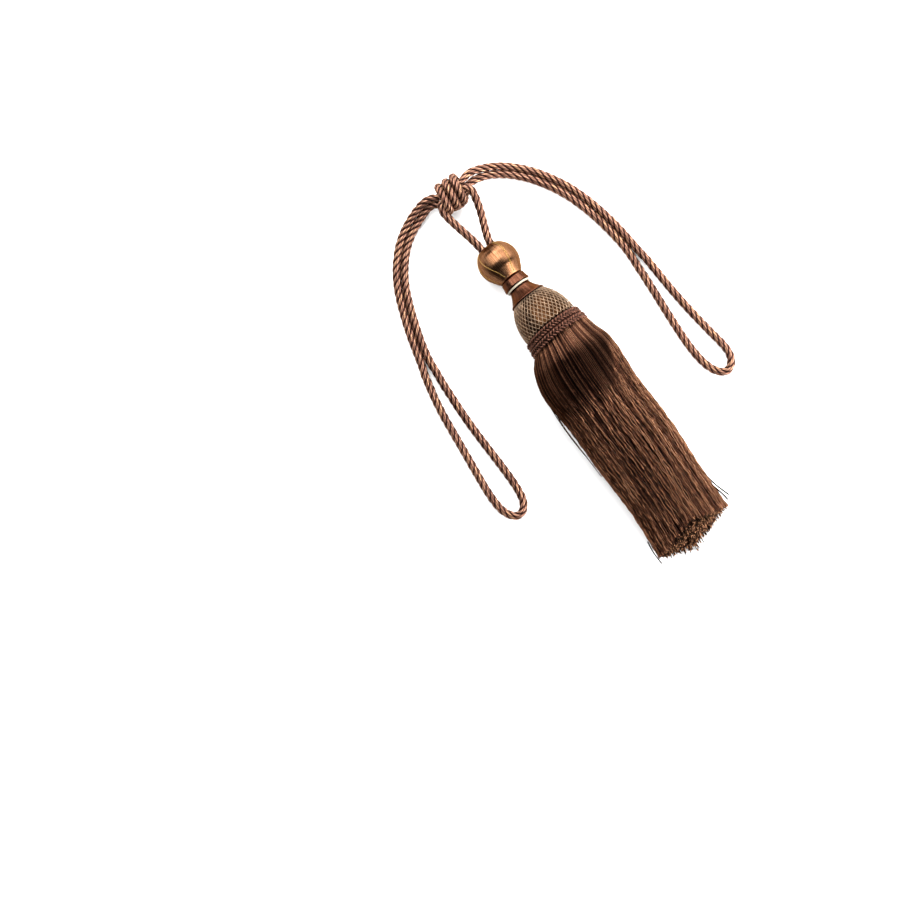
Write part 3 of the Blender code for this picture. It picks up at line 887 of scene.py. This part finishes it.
def gimp_finish():
    """Dark maroon gimp that shines pinkish on its ridges, with painted shade between its yarns and where a
    strand goes under another.
    """
    material, shader = new_finish("maroon_gimp", roughness=0.38, specular=0.4, metallic=0.8)
    # painted shade: nearly black between the yarns
    yarns = add_ramp(material, read_attribute(material, "ridge"),
                     [(0.1, 0.010, 0.002, 0.001), (0.8, 0.138, 0.059, 0.039)])
    # painted shade: nearly black where a strand goes under another
    under_strand_shade = add_ramp(material, read_attribute(material, "height"),
                     [(0.50, 0.01, 0.01, 0.01), (1.0, 1.0, 1.0, 1.0)])
    connect(shader, "Base Color", multiply_colours(material, yarns, under_strand_shade))
    add_bump(material, shader, add_noise(material, 2600.0), 0.3, 0.2 * MM)
    return material


# %% Ruff
BAND_PROFILE = [(0.0, -69.8), (24.0, -69.8), (25.0, -71.4), (25.2, -73.6), (25.6, -76.6), (25.8, -78.4),
                (26.2, -80.8), (25.6, -83.6), (0.0, -83.9)]
BAND_THREADS = 60
BAND_RELIEF = 0.1
MAROON = [(0.3, 0.010, 0.003, 0.002), (0.7, 0.05, 0.018, 0.012)]

braid_spots = round_spots(2 * BRAID_YARNS, BRAID_ACROSS * MM, BRAID_DEEP * MM, BRAID_GROOVE)
braid_mesh = tube_mesh("braided_gimp", braid_lines, outline_curve("braid_outline", braid_spots), closed=True)
set_number(braid_mesh, "ridge", np.tile([1.0, 0.0], len(braid_mesh.vertices) // 2))
set_number(braid_mesh, "height", np.repeat(braid_heights, 2 * BRAID_YARNS))
close_ends(braid_mesh)
finish_piece(braid_mesh, gimp_finish(), "ruff")
band_mesh = turned_mould("ruff_band", BAND_PROFILE, BAND_THREADS, BAND_RELIEF)
finish_piece(band_mesh, satin_finish("ruff_band", MAROON, 0.5))

# %% [markdown]
# ## The skirt's shape
#
# The skirt leaves the ruff as a round bundle, swells, and then settles under its own weight: wide, flat
# underneath and lower towards the hem. A table of cross-sections holds that shape. For any thread, an angle
# round the section and a share of its radius give one point in each section, and a smooth curve through
# them is the thread's line. The hem is cut at a slant, so the lowest threads are the longest.

# %% Skirt sections
SKIRT_TOP = -82.5
SKIRT_RADIUS = 27.5
FLAT_UNDERSIDE = 1.25
WIDEST_SHARE = 0.42
# stations: y, middle x, half width, top, bottom
STATIONS = np.array([
    (-157.5, 3.8, 31.8, 63.0, 3.0),
    (-164.0, 3.6, 34.6, 63.9, 1.8),
    (-175.0, 3.1, 37.2, 62.8, 0.6),
    (-190.0, 2.8, 37.7, 60.3, 0.2),
    (-212.0, 3.3, 36.5, 55.6, 0.2),
    (-250.0, 4.7, 37.1, 48.0, 0.2),
    (-300.0, 5.2, 35.3, 41.5, 0.2),
    (-352.0, 3.8, 37.2, 37.0, 0.2),
])


def section_places(angles, rings):
    """Points of all threads in every section: an array of section, thread, and x, y, z in millimetres."""
    cos, sin = np.cos(angles), np.sin(angles)
    places = []
    for y, middle, half_width, top, bottom in STATIONS:
        widest = bottom + WIDEST_SHARE * (top - bottom)
        up = (top - widest) * sin
        down = (bottom - widest) * np.minimum(1.0, -sin * FLAT_UNDERSIDE)
        height = widest + rings * np.where(sin >= 0.0, up, down)
        places.append(np.stack([middle + half_width * rings * cos, np.full_like(cos, y), height], axis=1))
    return np.array(places)


def root_places(angles, rings):
    """Where the threads leave the ruff: a tilted disc, in millimetres from the knot."""
    return (on_head(SKIRT_RADIUS * rings, -angles, SKIRT_TOP) - np.array(KNOT_AT)) / MM


# %% The slant of the hem
# lowest and highest threads: y of the longest one, how y changes away from it, and its x
LOW_HEM = (-355.0, 0.32, -2.0)
HIGH_HEM = (-332.0, -0.27, 8.0)


def hem_reach(x, top_share):
    """The y at which a thread ends: the lowest lie longest, with a point near the middle."""
    lowest, highest = [y + slope * np.abs(x - middle) for y, slope, middle in (LOW_HEM, HIGH_HEM)]
    return lowest + (highest - lowest) * top_share


# %% [markdown]
# ## Laying the threads
#
# Threads in a real skirt are never quite parallel. Where they are tied they lie tight and smooth, and
# further down they loosen, sooner at the right than elsewhere: neighbours gather into locks with a dark gap
# between them, each thread has a crimp of its own, and some cross over others. So each line gets a sideways
# shift that its neighbours share, a slow wander and a short crimp of its own, and all of these grow on the
# way to the hem. At the crest of the swell each thread bends over a little earlier or later than the next.

# %% How loose the threads are
ROOT_Y = -149.0  # distances along the skirt are from here, in millimetres
TIGHT = 0.14
LOOSE_FROM = 50.0
LOOSE_OVER = 16.0
RIGHT_SOONER = 36.0
RIGHT_FROM = 24.0
RIGHT_OVER = 11.0


def loose_share(from_root, x):
    """How loose the threads are at each distance from the ruff, from tight to 1; sooner at the right."""
    sooner = RIGHT_SOONER * np.clip((x - RIGHT_FROM) / RIGHT_OVER, 0.0, 1.0)
    share = np.clip((from_root + sooner - LOOSE_FROM) / LOOSE_OVER, 0.0, 1.0)
    return TIGHT + (1.0 - TIGHT) * share * share * (3.0 - 2.0 * share)


# %% Locks
# each set of locks: how many there are round the skirt, and how far they draw a thread aside
LOCKS = ((11, 0.14), (23, 0.18), (41, 0.27), (67, 0.32), (97, 0.32), (149, 0.22))
LOCK_PHASE = 1.7  # how far each set is turned against the last
LOCK_SWAY = 1.9  # how far a lock drifts round the skirt, in radians
LOCK_WAVE = 19.0  # how slowly the first set drifts, and how much slower each next one
LOCK_WAVE_MORE = 6.0
LOCK_LIFT = 0.225
LOCK_SINK = 0.55


def lock_shifts(angles, from_root):
    """How far neighbouring threads are drawn aside and lifted together."""
    side = np.zeros_like(from_root)
    lift = np.full_like(from_root, -LOCK_SINK)
    for number, (count, size) in enumerate(LOCKS):
        sway = LOCK_SWAY * np.sin(from_root / (LOCK_WAVE + LOCK_WAVE_MORE * number) + number)
        turn = count * angles + LOCK_PHASE * number + sway
        side += size * np.sin(turn)
        lift += LOCK_LIFT * size * np.cos(turn)
    return side, lift


def wave(from_root, length, phase):
    """A sine wave of this length along the threads."""
    return np.sin(math.tau * from_root / length + phase)


# %% Thread lines
WANDER = 0.6
WANDER_DEPTH = 0.24
WANDER_LENGTHS = (32.0, 70.0)
CRIMP = 0.28
CRIMP_DEPTH = 0.34
CRIMP_LENGTHS = (9.0, 18.0)
CRIMP_UP_SHORTER = 0.9
CREST_SPREAD = 2.0  # how much earlier or later a thread bends over
CREST_MARKS = (0.0, 8.5, 15.0, 41.0)  # it counts in full between the middle two, and not outside
LOOSE_SPREAD = 5.0  # how much earlier or later it loosens
CROWDED = 0.65  # whole threads have more of their points further down, where they are crimped
CROWDED_POWER = 0.8


def thread_lines(angles, rings, rng, points, first_mark=0.0, jitter=1.0, shorter=0.0):
    """Lines for many threads, as an array of thread, point and x, y, z in millimetres.

    Jitter is how unevenly they are cut, and shorter is how much earlier they all end.
    """
    count = len(angles)
    controls = np.concatenate([root_places(angles, rings)[None], section_places(angles, rings)])
    marks = ROOT_Y - np.append(ROOT_Y, STATIONS[:, 0])
    top_share = np.clip(controls[-1, :, 2] / STATIONS[-1, 3], 0.0, 1.0)
    ends = hem_reach(controls[-1, :, 0], top_share) + rng.normal(0.0, jitter, count)
    last_mark = (ROOT_Y - ends - shorter)[:, None]
    share = np.linspace(0.0, 1.0, points)
    if first_mark == 0.0:
        share = (1.0 - CROWDED) * share + CROWDED * share ** CROWDED_POWER
    wanted = first_mark + (last_mark - first_mark) * share
    early = rng.normal(0.0, CREST_SPREAD, (count, 1)) * np.interp(marks, CREST_MARKS, (0.0, 1.0, 1.0, 0.0))
    lines = np.stack([cubic_through(controls[:, i], marks + early[i], wanted[i]) for i in range(count)])
    loose = loose_share(wanted + rng.normal(0.0, LOOSE_SPREAD, (count, 1)), lines[:, :, 0])
    slow = rng.uniform(*WANDER_LENGTHS, (count, 1))
    quick = rng.uniform(*CRIMP_LENGTHS, (count, 1))
    phases = (math.tau * rng.random((count, 4))).T[:, :, None]
    side, lift = lock_shifts(angles[:, None], wanted)
    side += WANDER * wave(wanted, slow, phases[0]) + CRIMP * wave(wanted, quick, phases[1])
    lift += CRIMP_DEPTH * wave(wanted, CRIMP_UP_SHORTER * quick, phases[2])
    lift += WANDER_DEPTH * (wave(wanted, slow, phases[3]) - 1.0)
    cos, sin = np.cos(angles)[:, None], np.sin(angles)[:, None]
    lines[:, :, 0] += loose * (lift * cos - side * sin)
    lines[:, :, 2] += loose * (lift * sin + side * cos)
    return lines


# %% Laying threads
THREAD_SIDES = 3
CREST_LIGHT = 0.24  # painted light: the crest below the ruff is coloured as light as threads this much looser
CREST_FADE = (3.9, 16.9)

thread_outline = outline_curve("thread_outline", round_spots(THREAD_SIDES, MM))


def lay_threads(name, lines, radius, tones):
    """Threads as one mesh, with each one's tone, how loose it is (with painted light added at the crest) and
    the distance to its cut end.
    """
    lines = lines.copy()
    count, points, _ = lines.shape
    sizes = np.broadcast_to(np.reshape(radius, (-1, 1)), (count, points))
    lines[:, :, 2] = np.maximum(lines[:, :, 2], sizes)
    mesh = tube_mesh(name, lines * MM + np.array(KNOT_AT), thread_outline, sizes=sizes)
    from_root = ROOT_Y - lines[:, :, 1]
    loose = loose_share(from_root, lines[:, :, 0])
    # painted light: the crest gets less of the painted shade of tight threads
    loose += CREST_LIGHT * np.interp(from_root, CREST_FADE, (1.0, 0.0))
    from_end = np.linalg.norm(lines - lines[:, -1:], axis=2)
    set_number(mesh, "tone", np.repeat(tones, points * THREAD_SIDES))
    set_number(mesh, "loose", np.repeat(loose, THREAD_SIDES))
    set_number(mesh, "from_end", np.repeat(from_end, THREAD_SIDES))
    close_ends(mesh)
    return mesh


# %% [markdown]
# ## Skirt thread
#
# The threads are brown viscose of mixed shades: most are a middle brown, some nearly black, some copper and
# a few golden. The tone number picks the colour. Where the threads lie tight they are smooth and in each
# other's shade, so their colour is painted darker there, as painted shade, and they are a little shinier;
# right below the ruff the crest is painted lighter, as painted light. The cut end has a colour of its own,
# painted for the light that goes into the open fibres there: painted shade, wine red, on the long threads,
# and a painted copper highlight on those of the hem.

# %% Skirt finish
TIGHT_ROUGHNESS = 0.285
LOOSE_ROUGHNESS = 0.36
TIGHT_SHADE = (0.43, 0.415, 0.44)
THREAD_BROWNS = [(0.0, 0.006, 0.002, 0.002), (0.3, 0.022, 0.009, 0.006), (0.6, 0.066, 0.027, 0.016),
                 (0.85, 0.145, 0.064, 0.036), (1.0, 0.290, 0.142, 0.080)]
# cut-end colours: painted shade on the long threads, a painted copper highlight on the hem's
PAINTED_SHADE_TIP = (0.020, 0.007, 0.005, 1.0)
PAINTED_HIGHLIGHT_TIP = (0.60, 0.30, 0.165, 1.0)
TIP_LENGTH = 1.1
TIP_TONES = (0.15, 0.55)  # threads of the first tone or darker hardly show their cut end
TIP_SHARES = (0.1, 0.9)


def map_range(material, value, old, new):
    """A number carried from one range to another."""
    inputs = {"Value": value, "From Min": old[0], "From Max": old[1], "To Min": new[0], "To Max": new[1]}
    return add_node(material, "ShaderNodeMapRange", inputs).outputs["Result"]


def thread_finish(name, tip_colour, painted_shade_scale=1.0):
    """Mixed brown viscose thread, painted darker as shade where it lies tight, with a painted colour at the
    cut end; the last argument scales the other colours, as painted shade.
    """
    material, shader = new_finish(name, roughness=0.28, specular=0.35, metallic=1.0)
    tone = read_attribute(material, "tone")
    loose = read_attribute(material, "loose")
    fuzz = map_range(material, loose, (TIGHT, 1.0), (TIGHT_ROUGHNESS, LOOSE_ROUGHNESS))
    connect(shader, "Roughness", fuzz)
    browns = [(stop, painted_shade_scale * red, painted_shade_scale * green, painted_shade_scale * blue) for stop, red, green, blue in THREAD_BROWNS]
    colour = add_ramp(material, tone, browns)
    # painted shade: tight threads are coloured darker
    shade = add_ramp(material, loose, [(TIGHT, *TIGHT_SHADE), (1.0, 1.0, 1.0, 1.0)])
    patch = add_noise(material, 900.0)
    uneven = add_ramp(material, patch, [(0.3, 0.62, 0.60, 0.60), (0.7, 1.3, 1.28, 1.25)])
    mixed = multiply_colours(material, multiply_colours(material, colour, shade), uneven)
    # painted shade or painted highlight at the cut end, less of it on darker threads
    tip_share = map_range(material, tone, TIP_TONES, TIP_SHARES)
    tip = map_range(material, read_attribute(material, "from_end"), (0.0, TIP_LENGTH), (tip_share, 0.0))
    inputs = {"Factor": tip, "A": mixed, "B": tip_colour}
    tipped = add_node(material, "ShaderNodeMix", inputs, data_type="RGBA").outputs["Result"]
    connect(shader, "Base Color", tipped)
    add_bump(material, shader, add_noise(material, 3500.0), 0.08, 0.15 * MM)
    return material


thread_material = thread_finish("skirt_thread", PAINTED_SHADE_TIP)
# painted shade: the hem threads' colours are scaled down, as if in the shade of the outer layers
shaded_thread = thread_finish("shaded_thread", PAINTED_HIGHLIGHT_TIP, painted_shade_scale=0.16)

# %% [markdown]
# ## Layers
#
# Only the outer threads show along the skirt's length, so those run the whole way from the ruff, in four
# layers whose tones are painted darker the deeper they lie, as painted shade. The mass inside is a core,
# painted dark as the shade it lies in, that stops short of the hem, and the last stretch round it is filled
# with shorter threads, whose cut ends make the speckled face of the hem.

# %% Outer threads
RIGHT_SIDE_LIGHT = 0.30  # painted light: the threads at the right side get lighter tones, as where the light from the right falls
RIGHT_LIGHT_OVER = 0.65
UNEVEN = 0.45  # how far a thread is from its even place, as a share of the gap
# the middle tones fall from layer to layer: painted shade on the deeper layers
LAYERS = (
    # name, threads, points, ring, spread, radius, middle tone, spread of tone, how much shorter
    ("outer_threads", 205, 100, 1.0, 0.014, 0.38, 0.74, 0.32, 0.0),
    ("second_threads", 230, 80, 0.974, 0.012, 0.40, 0.46, 0.28, 0.6),
    ("third_threads", 260, 50, 0.948, 0.010, 0.46, 0.26, 0.15, 1.6),
    ("fourth_threads", 280, 30, 0.922, 0.012, 0.50, 0.12, 0.08, 2.6),
)

rng = np.random.default_rng(11)
for name, count, points, ring, spread, radius, tone, tone_spread, shorter in LAYERS:
    angles = math.tau * (np.arange(count) + rng.uniform(-UNEVEN, UNEVEN, count)) / count
    lines = thread_lines(angles, ring - rng.uniform(0.0, spread, count), rng, points, shorter=shorter)
    from_right = (angles + math.pi) % math.tau - math.pi
    right_light = RIGHT_SIDE_LIGHT * np.exp(-(from_right / RIGHT_LIGHT_OVER) ** 2)
    tones = np.clip(rng.normal(tone, tone_spread, count) + tone * right_light, 0.0, 1.0)
    mesh = lay_threads(name, lines, radius, tones)
    finish_piece(mesh, thread_material, "skirt" if name == "outer_threads" else None)

# %% Hem threads
HEM_THREADS = 1000
HEM_POINTS = 6
HEM_START = 150.0
HEM_RING = 0.93
HEM_SUNK = 0.18
HEM_JITTER = 1.9
HEM_RADIUS = 0.55
HEM_TONE = 0.32
HEM_TONE_SPREAD = 0.26

hem_angles = rng.uniform(0.0, math.tau, HEM_THREADS)
hem_rings = HEM_RING * np.sqrt(rng.uniform(0.0, 1.0, HEM_THREADS))
hem_rings *= 1.0 - HEM_SUNK * np.maximum(0.0, np.sin(hem_angles))
hem_lines = thread_lines(hem_angles, hem_rings, rng, HEM_POINTS, first_mark=HEM_START, jitter=HEM_JITTER)
hem_tones = np.clip(rng.normal(HEM_TONE, HEM_TONE_SPREAD, HEM_THREADS), 0.0, 1.0)
finish_piece(lay_threads("hem_threads", hem_lines, HEM_RADIUS, hem_tones), shaded_thread)

# %% [markdown]
# A few threads have come away from the rest: two stick out at the right of the hem, one at its left, some
# hang a little longer than their neighbours, and two run loose beside the left edge.

# %% Stray threads
STRAY_STEP = 0.5
STRAY_POINTS = 18
STRAYS = (
    # radius, tone, and the places that the thread runs through
    (0.85, 0.02, ((38, -316, 15), (40.5, -325, 13), (42, -331, 11), (43, -337.5, 8))),
    (0.85, 0.02, ((39, -308, 17), (41.3, -320, 15), (43.4, -327, 13), (46, -334.5, 11))),
    (0.75, 0.02, ((-31.5, -328, 11), (-32.6, -337, 9), (-32.6, -343, 7), (-32.2, -350, 4))),
    (0.55, 0.02, ((-6, -340, 6), (-5.6, -348, 4.5), (-5.9, -352.5, 3), (-7.2, -356.5, 1.5))),
    (0.55, 0.02, ((-0.5, -342, 6), (1, -350, 4.5), (0.4, -355, 3), (-1.6, -359.2, 1.2))),
    (0.55, 0.02, ((-11.5, -340, 6), (-11, -346, 4.5), (-10.8, -351, 3), (-11.6, -355.2, 1.5))),
    (0.55, 0.02, ((4.6, -338, 6), (4.9, -345, 4.5), (4.7, -350, 3), (4.9, -354.6, 1.5))),
    (0.55, 0.02, ((11, -336, 6), (11.8, -342, 4.5), (11.6, -345.5, 3), (12.2, -349.6, 1.5))),
    (0.48, 0.45, ((-33.6, -178, 30), (-35, -200, 26), (-34.9, -222, 23), (-33, -246, 19))),
    (0.48, 0.45, ((-33, -186, 33), (-34.6, -210, 28), (-33.9, -232, 24), (-32.4, -262, 18))),
)

stray_lines = []
for radius, tone, spots in STRAYS:
    line = smooth_route(spots, STRAY_STEP)
    stray_lines.append(line[np.linspace(0, len(line) - 1, STRAY_POINTS).astype(int)])
stray_radii = [row[0] for row in STRAYS]
stray_tones = [row[1] for row in STRAYS]
stray_mesh = lay_threads("stray_threads", np.array(stray_lines), stray_radii, stray_tones)
finish_piece(stray_mesh, thread_material)

# %% Core
CORE_SIDES = 48
CORE_RING = 0.86
CORE_LOWEST = 1.2
CORE_STREAKS = (1400.0, 40.0, 1400.0)

core_angles = math.tau * np.arange(CORE_SIDES) / CORE_SIDES
core_rings = np.full(CORE_SIDES, CORE_RING)
core_sections = [root_places(core_angles, core_rings), *section_places(core_angles, core_rings)[:-1]]
bm = bmesh.new()
rims = []
for section in core_sections:
    section[:, 2] = np.maximum(section[:, 2], CORE_LOWEST)
    verts = [bm.verts.new(spot) for spot in section * MM + np.array(KNOT_AT)]
    rims.append([bm.edges.new(pair) for pair in zip(verts, verts[1:] + verts[:1])])
for near, far in zip(rims, rims[1:]):
    bmesh.ops.bridge_loops(bm, edges=near + far)
bmesh.ops.holes_fill(bm, edges=rims[0] + rims[-1], sides=0)
bmesh.ops.recalc_face_normals(bm, faces=bm.faces)


def core_finish():
    """The mass of threads seen between the outer ones, painted dark as the shade they lie in."""
    material, shader = new_finish("inner_threads", roughness=0.7, specular=0.2)
    lines = stretched_noise(material, object_space(material), CORE_STREAKS)
    # painted shade: the inner threads are coloured nearly black
    colour = add_ramp(material, lines, [(0.35, 0.004, 0.001, 0.001), (0.7, 0.030, 0.011, 0.007)])
    connect(shader, "Base Color", colour)
    add_bump(material, shader, lines, 0.6, 0.4 * MM)
    return material


finish_piece(mesh_from(bm, "inner_threads"), core_finish())

# %% [markdown]
# ## Table and light
#
# The ground is a plain white table. Four soft lights do the work that satin needs: a large one beyond the
# knot, a low one beyond the skirt and to its right, one at the right side, and a faint one low beyond the
# knot. Nothing hangs right overhead, so what faces straight up stays dark between the bands of shine.

# %% Table
TABLE_SIZE = 3.0
TABLE_WHITE = (0.94, 0.94, 0.94, 1.0)

bm = bmesh.new()
bmesh.ops.create_grid(bm, x_segments=1, y_segments=1, size=TABLE_SIZE)
table = add_object("table", mesh_from(bm, "table"))
table_finish, table_shader = new_finish("white_table", roughness=0.9, specular=0.1)
table_shader.inputs["Base Color"].default_value = TABLE_WHITE
table.data.materials.append(table_finish)

# %% Lights
LIGHT_DISTANCE = 2.0
ROOM_LIGHT = 0.025
LIGHTS = (
    # name, degrees from +X towards +Y, degrees from straight up, size, power
    ("far_light", 92.0, 41.0, 2.2, 125.0),
    ("near_light", -54.0, 68.0, 1.5, 140.0),
    ("side_light", 20.0, 60.0, 1.7, 70.0),
    ("low_light", 60.0, 77.0, 1.1, 32.0),
)

for name, azimuth, zenith, size, power in LIGHTS:
    data = bpy.data.lights.new(name, "AREA")
    data.shape = "SQUARE"
    data.size = size
    data.energy = power
    flat, up = math.sin(math.radians(zenith)), math.cos(math.radians(zenith))
    azimuth = math.radians(azimuth)
    direction = Vector((flat * math.cos(azimuth), flat * math.sin(azimuth), up))
    light = add_object(name, data)
    light.location = direction * LIGHT_DISTANCE
    light.rotation_euler = direction.to_track_quat("Z", "Y").to_euler()

world = bpy.data.worlds.new("studio")
world.use_nodes = True
background = world.node_tree.nodes["Background"]
background.inputs["Color"].default_value = (1.0, 1.0, 1.0, 1.0)
background.inputs["Strength"].default_value = ROOM_LIGHT
bpy.context.scene.world = world
bpy.context.scene.view_settings.view_transform = "Standard"
print("lights:", ", ".join(row[0] for row in LIGHTS))
